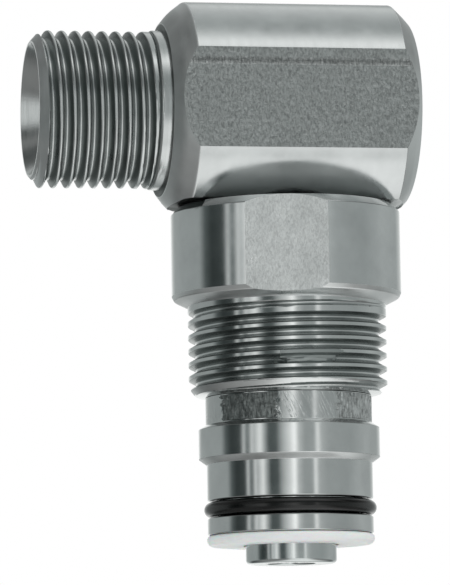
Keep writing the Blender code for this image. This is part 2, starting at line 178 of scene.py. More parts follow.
def fill_ramp(ramp, stops):
    """Sets a colour ramp's stops from (position 0 to 1, brightness) pairs. Dim light is a little greener."""
    elements = ramp.color_ramp.elements
    while len(elements) > 1:
        elements.remove(elements[-1])
    for i, (position, brightness) in enumerate(stops):
        stop = elements[0] if i == 0 else elements.new(position)
        stop.position = position
        red = brightness * (1 - 0.2 * math.exp(-2.6 * brightness))
        stop.color = (red, brightness, 0.99 * brightness, 1)


# Upright light strips round the object: degrees right of the camera's direction, and brightness
STRIPS = (
    (-180, 1.10), (-168, 0.95), (-160, 0.62), (-150, 0.42), (-120, 0.40), (-97, 0.40), (-89, 0.12),
    (-80, 0.05), (-65, 0.07), (-60.5, 0.75), (-57, 0.22), (-54, 0.18), (-49, 0.85), (-46, 0.55),
    (-38, 1.1), (-32, 0.45), (-27, 0.10), (-17, 0.12), (-10, 0.50), (0, 0.90), (6, 1.4), (11, 0.66),
    (19, 0.42), (31, 0.42), (35.5, 1.1), (40, 0.55), (52, 0.44), (85, 0.40), (112, 0.50), (145, 0.44),
    (160, 0.66), (172, 0.95),
)
# Softboxes above and below: degrees from the front, over the top, to the back, and brightness
OVERHEAD = (
    (-180, 0.62), (-150, 0.25), (-120, 0.85), (-100, 1.10), (-62, 1.15), (-55, 0.80), (-48, 1.05),
    (-20, 0.95), (-6, 0.60), (10, 0.30), (42, 0.28), (56, 0.70), (68, 1.35), (80, 0.70), (88, 0.42),
    (100, 0.44), (140, 0.80), (155, 0.25), (180, 0.62),
)
# The softboxes' place to the right, half width and reach, as shares of the direction, and what is left
# outside them
SOFTBOX_SIDE = 0.19
SOFTBOX_HALF_WIDTH = 0.22
SOFTBOX_REACH = 0.6
SOFTBOX_OUTSIDE = 0.25
# The strips light up to this angle above and below level, and from twice that angle the softboxes do
STRIP_TOP = math.radians(14)
STUDIO_STRENGTH = 1.0
DIFFUSE_BOOST = 1.5
SKY_SAMPLES = 1024


def add_studio():
    """A soft studio as the world: strips round the sides, softboxes above and below, and white behind."""
    world = bpy.data.worlds.new("studio")
    bpy.context.scene.world = world
    world.use_nodes = True
    nodes = world.node_tree.nodes
    link = world.node_tree.links.new
    nodes.clear()

    def math_node(operation, first, second=None):
        node = nodes.new("ShaderNodeMath")
        node.operation = operation
        for socket, value in zip(node.inputs, (first, second)):
            if isinstance(value, bpy.types.NodeSocket):
                link(value, socket)
            elif value is not None:
                socket.default_value = value
        return node.outputs[0]

    direction = nodes.new("ShaderNodeSeparateXYZ")
    link(nodes.new("ShaderNodeTexCoord").outputs["Generated"], direction.inputs[0])
    x, y, z = direction.outputs
    ahead = math_node("MULTIPLY", y, -1.0)

    def angle_ramp(across, stops, shift):
        angle = math_node("ARCTAN2", across, ahead)
        turn = math_node("ADD", math_node("DIVIDE", angle, 2 * math.pi), 0.5 - shift / 360)
        ramp = nodes.new("ShaderNodeValToRGB")
        fill_ramp(ramp, [((degrees + 180) / 360, brightness) for degrees, brightness in stops])
        link(math_node("FRACT", turn), ramp.inputs[0])
        return ramp.outputs[0]

    strips = angle_ramp(x, STRIPS, math.degrees(CAMERA_AZIMUTH))
    overhead = angle_ramp(z, OVERHEAD, 0)

    def smooth_range(value, low, high, to_low, to_high):
        span = nodes.new("ShaderNodeMapRange")
        span.interpolation_type = "SMOOTHSTEP"
        link(math_node("ABSOLUTE", value), span.inputs["Value"])
        for socket, number in zip(("From Min", "From Max", "To Min", "To Max"), (low, high, to_low, to_high)):
            span.inputs[socket].default_value = number
        return span.outputs[0]

    aside = math_node("SUBTRACT", x, SOFTBOX_SIDE)
    softbox = nodes.new("ShaderNodeVectorMath")
    softbox.operation = "SCALE"
    link(overhead, softbox.inputs[0])
    share = smooth_range(aside, SOFTBOX_HALF_WIDTH, SOFTBOX_REACH, 1.0, SOFTBOX_OUTSIDE)
    link(share, softbox.inputs["Scale"])
    blend = nodes.new("ShaderNodeMix")
    blend.data_type = "RGBA"
    link(smooth_range(z, math.sin(STRIP_TOP), math.sin(2 * STRIP_TOP), 0.0, 1.0), blend.inputs["Factor"])
    link(strips, blend.inputs["A"])
    link(softbox.outputs[0], blend.inputs["B"])
    rays = nodes.new("ShaderNodeLightPath")
    studio = nodes.new("ShaderNodeBackground")
    link(blend.outputs["Result"], studio.inputs["Color"])
    boost = math_node("MULTIPLY", rays.outputs["Is Diffuse Ray"], DIFFUSE_BOOST)
    link(math_node("ADD", boost, STUDIO_STRENGTH), studio.inputs["Strength"])
    behind = nodes.new("ShaderNodeBackground")
    behind.inputs["Color"].default_value = (1, 1, 1, 1)
    choose = nodes.new("ShaderNodeMixShader")
    link(rays.outputs["Is Camera Ray"], choose.inputs["Fac"])
    link(studio.outputs[0], choose.inputs[1])
    link(behind.outputs[0], choose.inputs[2])
    link(choose.outputs[0], nodes.new("ShaderNodeOutputWorld").inputs["Surface"])
    world.cycles.sampling_method = "MANUAL"
    world.cycles.sample_map_resolution = SKY_SAMPLES
    bpy.context.scene.view_settings.view_transform = "Standard"


# ---------------------------------------------------------------- materials

# Cells per metre of the turning marks, along the axis and round it
TURNING_LINES = 5200
ROUND_THE_LINES = 30
TURNING_BANDS = 900
ROUND_THE_BANDS = 60
SCRATCH_SLANT = math.radians(-24)


class Finish:
    """A Principled material and short ways to add nodes to it."""

    def __init__(self, name, colour, roughness, metallic=0.0, **sockets):
        self.material = bpy.data.materials.new(name)
        self.material.use_nodes = True
        self.nodes = self.material.node_tree.nodes
        self.link = self.material.node_tree.links.new
        self.shader = self.nodes["Principled BSDF"]
        self.shader.inputs["Base Color"].default_value = (*colour, 1)
        self.shader.inputs["Roughness"].default_value = roughness
        self.shader.inputs["Metallic"].default_value = metallic
        for socket, value in sockets.items():
            self.shader.inputs[socket.replace("_", " ")].default_value = value
        self.place = self.nodes.new("ShaderNodeTexCoord").outputs["Object"]
        self.bumps = None

    def scaled(self, scale, turn=(0, 0, 0)):
        mapping = self.nodes.new("ShaderNodeMapping")
        mapping.vector_type = "TEXTURE"
        mapping.inputs["Scale"].default_value = [1 / part for part in scale]
        mapping.inputs["Rotation"].default_value = turn
        self.link(self.place, mapping.inputs["Vector"])
        return mapping.outputs[0]

    def noise(self, scale, detail=4.0, roughness=0.6, turn=(0, 0, 0), distortion=0.0):
        """Noise whose cells are one over scale, per metre, along X, Y and Z."""
        texture = self.nodes.new("ShaderNodeTexNoise")
        texture.inputs["Scale"].default_value = 1.0
        texture.inputs["Detail"].default_value = detail
        texture.inputs["Roughness"].default_value = roughness
        texture.inputs["Distortion"].default_value = distortion
        self.link(self.scaled(scale, turn), texture.inputs["Vector"])
        return texture.outputs["Fac"]

    def spread(self, value, low, high, to_low=0.0, to_high=1.0):
        """Maps low..high of a texture to to_low..to_high, clamped."""
        span = self.nodes.new("ShaderNodeMapRange")
        self.link(value, span.inputs["Value"])
        for socket, number in zip(("From Min", "From Max", "To Min", "To Max"), (low, high, to_low, to_high)):
            span.inputs[socket].default_value = number
        return span.outputs[0]

    def stripe(self, height, half_width):
        """One at a height in millimetres, falling to nothing half a width above and below it."""
        split = self.nodes.new("ShaderNodeSeparateXYZ")
        self.link(self.place, split.inputs[0])
        offset = self.nodes.new("ShaderNodeMath")
        offset.operation = "SUBTRACT"
        offset.inputs[1].default_value = height * MM
        self.link(split.outputs["Z"], offset.inputs[0])
        size = self.nodes.new("ShaderNodeMath")
        size.operation = "ABSOLUTE"
        self.link(offset.outputs[0], size.inputs[0])
        return self.spread(size.outputs[0], 0, half_width * MM, 1.0, 0.0)

    def multiply(self, first, second):
        node = self.nodes.new("ShaderNodeMath")
        node.operation = "MULTIPLY"
        self.link(first, node.inputs[0])
        self.link(second, node.inputs[1])
        return node.outputs[0]

    def tone(self, factor, dark, light):
        """Colours the surface from dark to light by a texture."""
        mix = self.nodes.new("ShaderNodeMix")
        mix.data_type = "RGBA"
        self.link(factor, mix.inputs["Factor"])
        mix.inputs["A"].default_value = (*dark, 1)
        mix.inputs["B"].default_value = (*light, 1)
        self.link(mix.outputs["Result"], self.shader.inputs["Base Color"])

    def polish(self, factor):
        self.link(factor, self.shader.inputs["Roughness"])

    def bump(self, height, depth_mm):
        """Adds a layer of relief. Layers pass their normal on to the next."""
        bump = self.nodes.new("ShaderNodeBump")
        bump.inputs["Strength"].default_value = 1.0
        bump.inputs["Distance"].default_value = depth_mm * MM
        self.link(height, bump.inputs["Height"])
        if self.bumps:
            self.link(self.bumps, bump.inputs["Normal"])
        self.bumps = bump.outputs[0]
        self.link(self.bumps, self.shader.inputs["Normal"])

    def grain_round(self, axis):
        """Runs the metal's grain round an axis, as turning leaves it."""
        tangent = self.nodes.new("ShaderNodeTangent")
        tangent.direction_type = "RADIAL"
        tangent.axis = axis
        self.link(tangent.outputs[0], self.shader.inputs["Tangent"])


def along_axis(axis, fine, coarse):
    """Texture scales that are fine along the axis, X or Z, and coarse across it."""
    return (fine, coarse, coarse) if axis == "X" else (coarse, coarse, fine)


def turned_steel(name, colour, roughness, axis="Z", line_depth=0.0012):
    """Fine turning lines round an axis, with faint smears and cloudy patches."""
    finish = Finish(name, colour, roughness, 1.0, Anisotropic=0.5)
    lines = finish.noise(along_axis(axis, TURNING_LINES, ROUND_THE_LINES), detail=3)
    bands = finish.noise(along_axis(axis, TURNING_BANDS, ROUND_THE_BANDS), detail=2)
    clouds = finish.noise((160, 160, 160), detail=5)
    finish.bump(lines, line_depth)
    finish.bump(bands, line_depth * 2)
    cloudy = finish.spread(clouds, 0.3, 0.75, 0.75, 1.3)
    banded = finish.spread(bands, 0.3, 0.7, 0.9, 1.15)
    worn = finish.multiply(cloudy, banded)
    finish.polish(finish.spread(worn, 0.0, 2.0, 0.0, 2 * roughness))
    lighter = [min(1.0, 1.06 * part) for part in colour]
    darker = [0.9 * part for part in colour]
    finish.tone(finish.spread(clouds, 0.35, 0.7), darker, lighter)
    finish.grain_round(axis)
    return finish.material


def milled_steel(name, colour, roughness, depth, cell, darkest, mark=None):
    """The pitted, dragged surface of a milled flat, with a ragged line at the mark's height if it has one."""
    finish = Finish(name, colour, roughness, 1.0)
    drag = finish.noise((cell, cell, cell * 0.5), detail=3, distortion=0.8)
    pits = finish.noise((cell * 0.45, cell * 0.45, cell * 0.4), detail=3)
    clouds = finish.noise((220, 220, 220), detail=4)
    finish.bump(finish.spread(drag, 0.25, 0.75), depth)
    finish.bump(finish.spread(pits, 0.35, 0.6), depth * 1.6)
    if mark:
        finish.bump(finish.multiply(finish.stripe(mark, 0.5), drag), depth * 12)
    finish.polish(finish.spread(clouds, 0.3, 0.7, 0.85 * roughness, 1.2 * roughness))
    darker = [darkest * part for part in colour]
    lighter = [min(1.0, 1.1 * part) for part in colour]
    finish.tone(finish.spread(drag, 0.35, 0.6), darker, lighter)
    return finish.material


def torn_steel(name, colour, roughness):
    """Steel that a wrench's jaws have chewed: short upright scores, dark in their hollows."""
    finish = Finish(name, colour, roughness, 1.0)
    scores = finish.noise((3400, 3400, 900), detail=5, roughness=0.7)
    lumps = finish.noise((1300, 1300, 1000), detail=4)
    finish.bump(scores, 0.05)
    finish.bump(lumps, 0.10)
    finish.tone(finish.spread(scores, 0.35, 0.6), [0.35 * part for part in colour], colour)
    finish.polish(finish.spread(lumps, 0.3, 0.7, roughness * 0.8, roughness * 1.25))
    return finish.material


def scratched_steel(name, colour, roughness):
    """Bright turned steel with slanting scratches."""
    finish = Finish(name, colour, roughness, 1.0, Anisotropic=0.4)
    scratches = finish.noise((2600, 2600, 260), detail=3, turn=(0, SCRATCH_SLANT, 0))
    lines = finish.noise(along_axis("Z", TURNING_LINES, ROUND_THE_LINES), detail=3)
    clouds = finish.noise((260, 260, 160), detail=4)
    finish.bump(lines, 0.002)
    finish.bump(finish.multiply(finish.spread(scratches, 0.5, 0.68), finish.spread(clouds, 0.42, 0.56)), 0.03)
    finish.tone(finish.spread(scratches, 0.4, 0.7), [0.88 * part for part in colour], colour)
    finish.polish(finish.spread(clouds, 0.3, 0.7, 0.85 * roughness, 1.3 * roughness))
    finish.grain_round("Z")
    return finish.material


def rubber(name):
    """Oiled black rubber, with a fine skin and an uneven film."""
    finish = Finish(name, (0.006, 0.006, 0.006), 0.2, Specular_IOR_Level=0.5)
    skin = finish.noise((1500, 1500, 1500), detail=4)
    film = finish.noise((240, 240, 240), detail=3)
    finish.bump(skin, 0.004)
    finish.polish(finish.spread(film, 0.3, 0.7, 0.12, 0.26))
    finish.tone(finish.spread(film, 0.35, 0.7), (0.004, 0.004, 0.004), (0.009, 0.009, 0.009))
    return finish.material


def plastic(name, colour, roughness, subsurface=0.0):
    """Satin turned plastic with faint rings and mottling."""
    finish = Finish(name, colour, roughness, Subsurface_Weight=subsurface, Subsurface_Scale=0.0006)
    rings = finish.noise((60, 60, 2600), detail=2)
    mottle = finish.noise((420, 420, 420), detail=4)
    finish.bump(rings, 0.002)
    finish.polish(finish.spread(mottle, 0.3, 0.7, roughness * 0.85, roughness * 1.2))
    finish.tone(finish.spread(mottle, 0.3, 0.7), [0.95 * part for part in colour], colour)
    return finish.material


def pale_floor():
    finish = Finish("pale_floor", (0.88, 0.89, 0.89), 0.7)
    drift = finish.noise((3, 3, 3), detail=3)
    finish.tone(finish.spread(drift, 0.3, 0.7), (0.86, 0.87, 0.87), (0.9, 0.91, 0.91))
    return finish.material


# ---------------------------------------------------------------- meshes

def rounded(outline, segments=6):
    """An outline whose (radius, height, fillet) corners become arcs. Corners without a fillet stay sharp."""
    points = []
    for i, corner in enumerate(outline):
        here = Vector(corner[:2])
        fillet = corner[2] if len(corner) == 3 else 0
        if not fillet:
            points.append(tuple(corner[:2]))
            continue
        before = (Vector(outline[i - 1][:2]) - here).normalized()
        after = (Vector(outline[(i + 1) % len(outline)][:2]) - here).normalized()
        half = before.angle(after) / 2
        centre = here + (before + after).normalized() * fillet / math.sin(half)
        start = here + before * fillet / math.tan(half) - centre
        end = here + after * fillet / math.tan(half) - centre
        first = math.atan2(start.y, start.x)
        sweep = math.remainder(math.atan2(end.y, end.x) - first, 2 * math.pi)
        for k in range(segments + 1):
            angle = first + sweep * k / segments
            points.append((centre.x + fillet * math.cos(angle), centre.y + fillet * math.sin(angle)))
    return points


def filled(outline, step):
    """The outline with extra points, so that none of its steps is longer than step."""
    points = []
    for (r0, z0), (r1, z1) in zip(outline, outline[1:]):
        count = max(1, math.ceil(math.hypot(r1 - r0, z1 - z0) / step))
        points += [(r0 + (r1 - r0) * k / count, z0 + (z1 - z0) * k / count) for k in range(count)]
    return points + [outline[-1]]


def groove_depth(across):
    """Depth of the rounded thread form at a distance from its crest's middle."""
    if across <= CREST_REACH:
        return CREST_ROUND - math.sqrt(CREST_ROUND ** 2 - across ** 2)
    if across >= PITCH / 2 - ROOT_REACH:
        rest = PITCH / 2 - across
        return THREAD_DEPTH - ROOT_ROUND + math.sqrt(ROOT_ROUND ** 2 - rest ** 2)
    return CREST_ROUND * (1 - math.sin(FLANK)) + (across - CREST_REACH) / math.tan(FLANK)


def thread_rows():
    """Places across one pitch, 0 to 1, close together over the rounded crest and root."""
    arc = 8
    half_arc = math.pi / 2 - FLANK
    gap = PITCH / 2 - CREST_REACH - ROOT_REACH
    rows = []
    for middle, bend, reach in ((0.0, CREST_ROUND, CREST_REACH), (PITCH / 2, ROOT_ROUND, ROOT_REACH)):
        rows += [middle + bend * math.sin(half_arc * (2 * k / arc - 1)) for k in range(arc + 1)]
        rows += [middle + reach + gap * k / 3 for k in (1, 2)]
    return [(row - rows[0]) / PITCH for row in rows], rows[0] / PITCH


def upright(x, y, z):
    return (x * MM, y * MM, z * MM)


def laid(x, y, z):
    """A place on a piece turned about Z, once the piece lies along -X on the elbow's axis."""
    return (-z * MM, y * MM, (ELBOW_AXIS_Z + x) * MM)


def turned(name, outline, after=(), envelope=(), crest=0, radius=0, fade=(0, 1), columns=COLUMNS,
           place=upright, relief=None):
    """A closed mesh turned about Z from an outline that runs down its outer side.

    With an envelope, the outline is followed by a right-hand thread inside that outer outline, and
    then by the points in after. The thread has no depth at the fade's first height and all of it at
    the second. Relief is a function that moves a vertex in or out.
    """
    vertices = []
    faces = []
    rings = []

    def ring(points):
        start = len(vertices)
        vertices.extend(points)
        rings.append([start + i for i in range(len(points))])

    def round_point(r, z, i):
        angle = 2 * math.pi * i / columns
        if relief:
            r = relief(r, z, angle)
        return place(r * math.cos(angle), r * math.sin(angle), z)

    def plain_ring(r, z):
        ring([place(0, 0, z)] if r < 1e-6 else [round_point(r, z, i) for i in range(columns)])

    def join_rings(upper, lower):
        for i in range(columns):
            j = (i + 1) % columns
            corners = [upper[i % len(upper)], lower[i % len(lower)]]
            corners += [lower[j % len(lower)], upper[j % len(upper)]]
            loop = [corner for k, corner in enumerate(corners) if corner != corners[k - 1]]
            if len(loop) > 2:
                faces.append(loop)

    def outer_radius(z):
        for (r0, z0), (r1, z1) in zip(envelope, envelope[1:]):
            if z0 >= z >= z1:
                return r0 + (r1 - r0) * (z0 - z) / (z0 - z1)
        return envelope[-1][0]

    def thread_radius(z, turn):
        phase = ((z - crest) / PITCH - turn) % 1.0
        groove_z = z + (0.5 - phase) * PITCH
        depth = min(1.0, max(0.0, (groove_z - fade[0]) / (fade[1] - fade[0])))
        depth = depth * depth * (3 - 2 * depth)
        groove = groove_depth(min(phase, 1 - phase) * PITCH) - (1 - depth) * THREAD_DEPTH
        return min(outer_radius(z), radius - max(0.0, groove))

    for r, z in outline:
        plain_ring(r, z)
    plain_count = len(rings)
    if envelope:
        top = envelope[0][1]
        bottom = envelope[-1][1]
        rows, first_row = thread_rows()
        per_turn = len(rows)
        turns_up = math.ceil((top - crest) / PITCH) + 1
        row_count = (math.ceil((top - bottom) / PITCH) + 4) * per_turn
        ring([round_point(thread_radius(top, i / columns), top, i) for i in range(columns)])
        high = rings[-1]
        grid = {}
        for k in range(row_count):
            for i in range(columns):
                turn = i / columns
                z = crest + PITCH * (turns_up - k // per_turn - rows[k % per_turn] - first_row + turn)
                if bottom + 1e-4 < z < top - 1e-4:
                    grid[k, i] = len(vertices)
                    vertices.append(round_point(thread_radius(z, turn), z, i))
                else:
                    grid[k, i] = "high" if z > bottom + 1e-4 else "low"
        ring([round_point(thread_radius(bottom, i / columns), bottom, i) for i in range(columns)])
        low = rings[-1]

        def grid_vertex(k, i):
            if i == columns:
                k, i = k - per_turn, 0
            if k < 0:
                return high[i]
            found = grid.get((k, i), "low")
            return {"high": high, "low": low}[found][i] if isinstance(found, str) else found

        for k in range(row_count + per_turn):
            for i in range(columns):
                corners = [grid_vertex(k, i), grid_vertex(k + 1, i)]
                corners += [grid_vertex(k + 1, i + 1), grid_vertex(k, i + 1)]
                loop = [corner for n, corner in enumerate(corners) if corner != corners[n - 1]]
                if len(loop) > 2:
                    faces.append(loop)
    for r, z in after:
        plain_ring(r, z)
    for n in range(len(rings) - 1):
        if envelope and n == plain_count:
            continue
        join_rings(rings[n], rings[n + 1])
    if len(rings[0]) > 1:
        join_rings(rings[-1], rings[0])

    mesh = bpy.data.meshes.new(name)
    mesh.from_pydata(vertices, [], faces)
    shape = bmesh.new()
    shape.from_mesh(mesh)
    bmesh.ops.recalc_face_normals(shape, faces=shape.faces)
    shape.to_mesh(mesh)
    shape.free()
    piece = bpy.data.objects.new(name, mesh)
    bpy.context.scene.collection.objects.link(piece)
    return piece


def box_tool(name, low, high):
    """A box between two corners, used only to cut."""
    mesh = bpy.data.meshes.new(name)
    shape = bmesh.new()
    bmesh.ops.create_cube(shape, size=1)
    size = Vector(high) - Vector(low)
    middle = (Vector(high) + Vector(low)) / 2
    bmesh.ops.scale(shape, vec=size * MM, verts=shape.verts)
    bmesh.ops.translate(shape, vec=middle * MM, verts=shape.verts)
    shape.to_mesh(mesh)
    shape.free()
    tool = bpy.data.objects.new(name, mesh)
    bpy.context.scene.collection.objects.link(tool)
    return tool


def combine(piece, tool, operation="DIFFERENCE"):
    """Cuts or joins a tool into a piece, and removes the tool."""
    boolean = piece.modifiers.new("boolean", "BOOLEAN")
    boolean.operation = operation
    boolean.solver = "MANIFOLD"
    boolean.object = tool
    bpy.context.view_layer.update()
    graph = bpy.context.evaluated_depsgraph_get()
    mesh = bpy.data.meshes.new_from_object(piece.evaluated_get(graph))
    piece.modifiers.clear()
    if len(mesh.vertices) == len(piece.data.vertices):
        raise RuntimeError(f"{tool.name} changed nothing on {piece.name}")
    piece.data = mesh
    bpy.data.objects.remove(tool)


# Thicker than any segment that is milled off
FLAT_CUT_DEPTH = 10


def mill_flats(piece, half_flats, low, high, turn=0.0):
    """Cuts the front and rear flats of a round bar, turned about the upright axis."""
    for side in (-1, 1):
        near = half_flats * side
        far = (half_flats + FLAT_CUT_DEPTH) * side
        tool = box_tool("flat", (low[0], min(near, far), low[1]), (high[0], max(near, far), high[1]))
        tool.rotation_euler.z = turn
        combine(piece, tool)


def finish_piece(piece, body, nodes, materials, pick=None):
    """Shades a piece, gives it its materials, and hands it to the frame."""
    mesh = piece.data
    mesh.name = piece.name
    mesh.materials.clear()
    for material in materials:
        mesh.materials.append(material)
    for face in mesh.polygons:
        face.material_index = pick(face) if pick else 0
    mesh.shade_smooth()
    mesh.set_sharp_from_angle(angle=SHARP_EDGE)
    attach(piece, body)
    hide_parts(*nodes)


# ---------------------------------------------------------------- pieces

def ring_dents(r, z, angle):
    """Shallow dents on the ring where the spigot's thread runs out."""
    if r < RING_R - NEAR or not RING_START - 1.1 < z < RING_START - 0.3:
        return r
    return r - 0.05 * abs(noise.noise(Vector((3 * math.cos(angle), 3 * math.sin(angle), z * 1.6))))


def make_elbow(metals):
    """Round bar with two milled flats, a threaded spigot with a coned mouth, and its bores."""
    turned_slot, thread_slot, milled_slot, shaded_flank_slot, painted_shade_slot, painted_light_slot, mouth_slot = range(7)
    # Where the steels change, to painted shade, painted light or the mouth's steel: under the bar's right
    # end, round the ring, along the thread, in the mouth
    gap_end_x = 6
    shadow_r = 11.5
    thread_left = -33.0
    thread_right = -17.3
    inside_r = 9
    bar = turned("elbow", rounded([
        (0, BAR_LEFT), (11.6, BAR_LEFT, 0.3), (13.1, 15.6, 7.0), (BAR_R, 13.8, 0.8),
        (BAR_R, -14.05, 0.3), (13.2, -15.45, 1.2), (12.3, BAR_RIGHT, 0.3), (0, BAR_RIGHT)]), place=laid)
    mill_flats(bar, BAR_HALF_FLATS, (-30, ELBOW_AXIS_Z - 20), (30, ELBOW_AXIS_Z + 20))
    ring = rounded([
        (RUNOUT_R, RING_START), (RING_R, RING_START, 0.36), (RING_R, SPIGOT_FOOT), (0, SPIGOT_FOOT)])
    spigot = turned(
        "spigot",
        [(0, MOUTH)],
        envelope=[(MOUTH_R, MOUTH), (OUTLET_THREAD_R, MOUTH - MOUTH_CHAMFER),
                  (OUTLET_THREAD_R, RING_START + 0.3), (RUNOUT_R, RING_START)],
        crest=SPIGOT_CREST, radius=OUTLET_THREAD_R, fade=(RING_START - 0.2, RING_START + 1.6),
        after=filled(ring[1:-1], 0.2) + [(0, SPIGOT_FOOT)], place=laid, relief=ring_dents)
    combine(bar, spigot, "UNION")
    combine(bar, turned("outlet_bore", [
        (0, MOUTH + 3), (CONE_MOUTH_R + 3 * CONE_SLOPE, MOUTH + 3),
        (BORE_R, MOUTH - (CONE_MOUTH_R - BORE_R) / CONE_SLOPE), (BORE_R, BORE_END),
        (0, BORE_END - BORE_R * CONE_SLOPE)], place=laid))
    combine(bar, turned("underside", [
        (0, ELBOW_AXIS_Z), (STEM_PASSAGE_R, ELBOW_AXIS_Z), (STEM_PASSAGE_R, SEAL_POCKET_Z),
        (JOURNAL_R, SEAL_POCKET_Z), (JOURNAL_R, SWIVEL_GAP_Z), (POCKET_R, SWIVEL_GAP_Z),
        (POCKET_R, SWIVEL_GAP_Z - 3), (0, SWIVEL_GAP_Z - 3)]))

    def pick(face):
        x, y, z = face.center / MM
        out = math.hypot(y, z - ELBOW_AXIS_Z)
        tapered = abs(face.normal.x) > 0.25
        if abs(face.normal.y) > FACING and abs(abs(y) - BAR_HALF_FLATS) < NEAR:
            return milled_slot
        # The pocket's ceiling: painted shade under the bar, painted light under its right end
        if z < SWIVEL_GAP_Z + NEAR and face.normal.z < -0.99:
            return painted_shade_slot if x < gap_end_x else painted_light_slot
        if x < -BAR_LEFT - 0.1 and out < inside_r:
            return mouth_slot
        # A painted shadow line on the bar's end face round the ring
        if abs(x + BAR_LEFT) < NEAR and out < shadow_r:
            return painted_shade_slot
        # Tapered faces of the bar and the mouth's chamfer get painted light
        if x > thread_right or (x < thread_left and out < OUTLET_THREAD_R - 0.05):
            return painted_light_slot if tapered else turned_slot
        # Steep faces down in the thread get painted shade
        steep = abs(face.normal.x) > STEEP
        return shaded_flank_slot if steep and out > OUTLET_THREAD_R - THREAD_DEPTH else thread_slot

    finish_piece(bar, "elbow", ["elbow_body"], metals, pick)


# The port thread's bruise: its middle's turn in degrees and height, its half sizes, slant and lower end
BRUISE_TURN = 272
BRUISE_Z = -9.3
BRUISE_HALF_TURN = 20
BRUISE_HALF_HEIGHT = 1.25
BRUISE_SLANT = 0.2
BRUISE_END_Z = -10.6
BRUISE_DEPTH = 0.55


def in_bruise(z, angle):
    """How far inside the port thread's bruise a place is: about 1 at its middle, 0 at its ragged edge."""
    across = (math.degrees(angle) % 360 - BRUISE_TURN) / BRUISE_HALF_TURN
    along = (z - BRUISE_Z - BRUISE_SLANT * across) / BRUISE_HALF_HEIGHT
    ragged = noise.noise(Vector((across * 3.1, along * 2.3, 8.0)))
    return 1 - across * across - along * along + 0.6 * ragged


def thread_smear(r, z, angle):
    """A long bruise that has pushed some crests of the port thread into their grooves."""
    inside = in_bruise(z, angle)
    root = PORT_THREAD_R - THREAD_DEPTH
    if inside <= 0 or z < BRUISE_END_Z or r < root - NEAR:
        return r
    smeared = PORT_THREAD_R - BRUISE_DEPTH + 0.15 * noise.noise(Vector((angle * 12, z * 2.5, 5.0)))
    return max(r, root + (smeared - root) * min(1.0, 3 * inside))


def make_body(metals):
    """Collar with two wrench flats over the port thread, with a bruise across some of its turns."""
    turned_slot, thread_slot, milled_slot, shaded_flank_slot, top_slot, bruised_slot, lit_cone_slot = range(7)
    body = turned(
        "threaded_body",
        rounded([(RECESS_R, COLLAR_TOP), (14.3, COLLAR_TOP, 0.2), (COLLAR_R, COLLAR_TOP - 1, 0.25),
                 (COLLAR_R, -0.1, 0.35), (15.0, -0.7, 0.4), (13.4, -1.5)]),
        envelope=[(PORT_THREAD_R, CONE_BOTTOM), (PORT_THREAD_R, BODY_CHAMFER_TOP),
                  (PORT_THREAD_R - BODY_CHAMFER, BODY_CHAMFER_FOOT), (NECK_R, BODY_BOTTOM)],
        crest=PORT_CREST, radius=PORT_THREAD_R + CREST_WEAR, fade=THREAD_RUNOUT,
        after=[(HOLLOW_R, BODY_BOTTOM), (HOLLOW_R, HOLLOW_TOP), (JOURNAL_R, HOLLOW_TOP),
               (JOURNAL_R, RECESS_FLOOR), (RECESS_R, RECESS_FLOOR)], relief=thread_smear)
    mill_flats(body, COLLAR_HALF_FLATS, (-20, -5), (20, 20), COLLAR_TURN)
    front = Vector((math.sin(COLLAR_TURN), -math.cos(COLLAR_TURN), 0))
    # Below the first height the end chamfer gets the cone's painted light, and below the second the flanks
    # lose their painted shade
    chamfer_shade_z = BODY_BOTTOM + 1.2
    flank_shade_z = BODY_BOTTOM + 0.4
    chamfer_slope = -0.75

    def pick(face):
        z = face.center.z / MM
        flat_distance = abs(face.center.dot(front)) / MM
        if abs(face.normal.dot(front)) > FACING and flat_distance > COLLAR_HALF_FLATS - NEAR:
            return milled_slot
        if z > COLLAR_TOP - NEAR:
            return top_slot
        # The collar's lower cone gets painted light
        if z > CONE_BOTTOM - 0.05:
            return lit_cone_slot if face.normal.z < DOWNWARD else turned_slot
        if in_bruise(z, math.atan2(face.center.y, face.center.x)) > 0:
            return bruised_slot
        if z < chamfer_shade_z and chamfer_slope < face.normal.z < DOWNWARD:
            return lit_cone_slot
        # Flanks get painted shade, except on the thread's last turn
        return shaded_flank_slot if abs(face.normal.z) > STEEP and z > flank_shade_z else thread_slot

    finish_piece(body, "cartridge", ["cartridge_body"], metals, pick)


# Where wrench jaws bit the neck: degrees round it from +X. The first patch gets a darker copy of the torn
# steel as painted shade, and the others a lighter copy as painted light
TORN = ((205, 250), (293, 344), (40, 76), (120, 150))
# The torn edges wander by up to this many degrees, and the tearing is at full depth this far inside them
TORN_WANDER = 5
TORN_FADE = 4


def patch_depth(angle, z, patches):
    """How deep inside the patches a place is: 0 or less outside their ragged edges, and 1 well inside."""
    degrees = math.degrees(angle) % 360 + TORN_WANDER * noise.noise(Vector((angle * 5, z * 1.7, 21.0)))
    return max(min(1.0, (degrees - low) / TORN_FADE, (high - degrees) / TORN_FADE) for low, high in patches)


def neck_relief(r, z, angle):
    """Chewed patches on the neck."""
    depth = patch_depth(angle, z, TORN)
    if abs(r - NECK_R) > NEAR or not NECK_BOTTOM + 0.1 < z < BODY_BOTTOM - 0.15 or depth <= 0:
        return r
    ridges = noise.fractal(Vector((angle * 30, z * 1.1, 3.0)), 0.8, 2.2, 3)
    lumps = noise.noise(Vector((angle * 9, z * 0.9, 11.0)))
    return r - depth * (0.09 - 0.11 * ridges + 0.10 * abs(lumps))


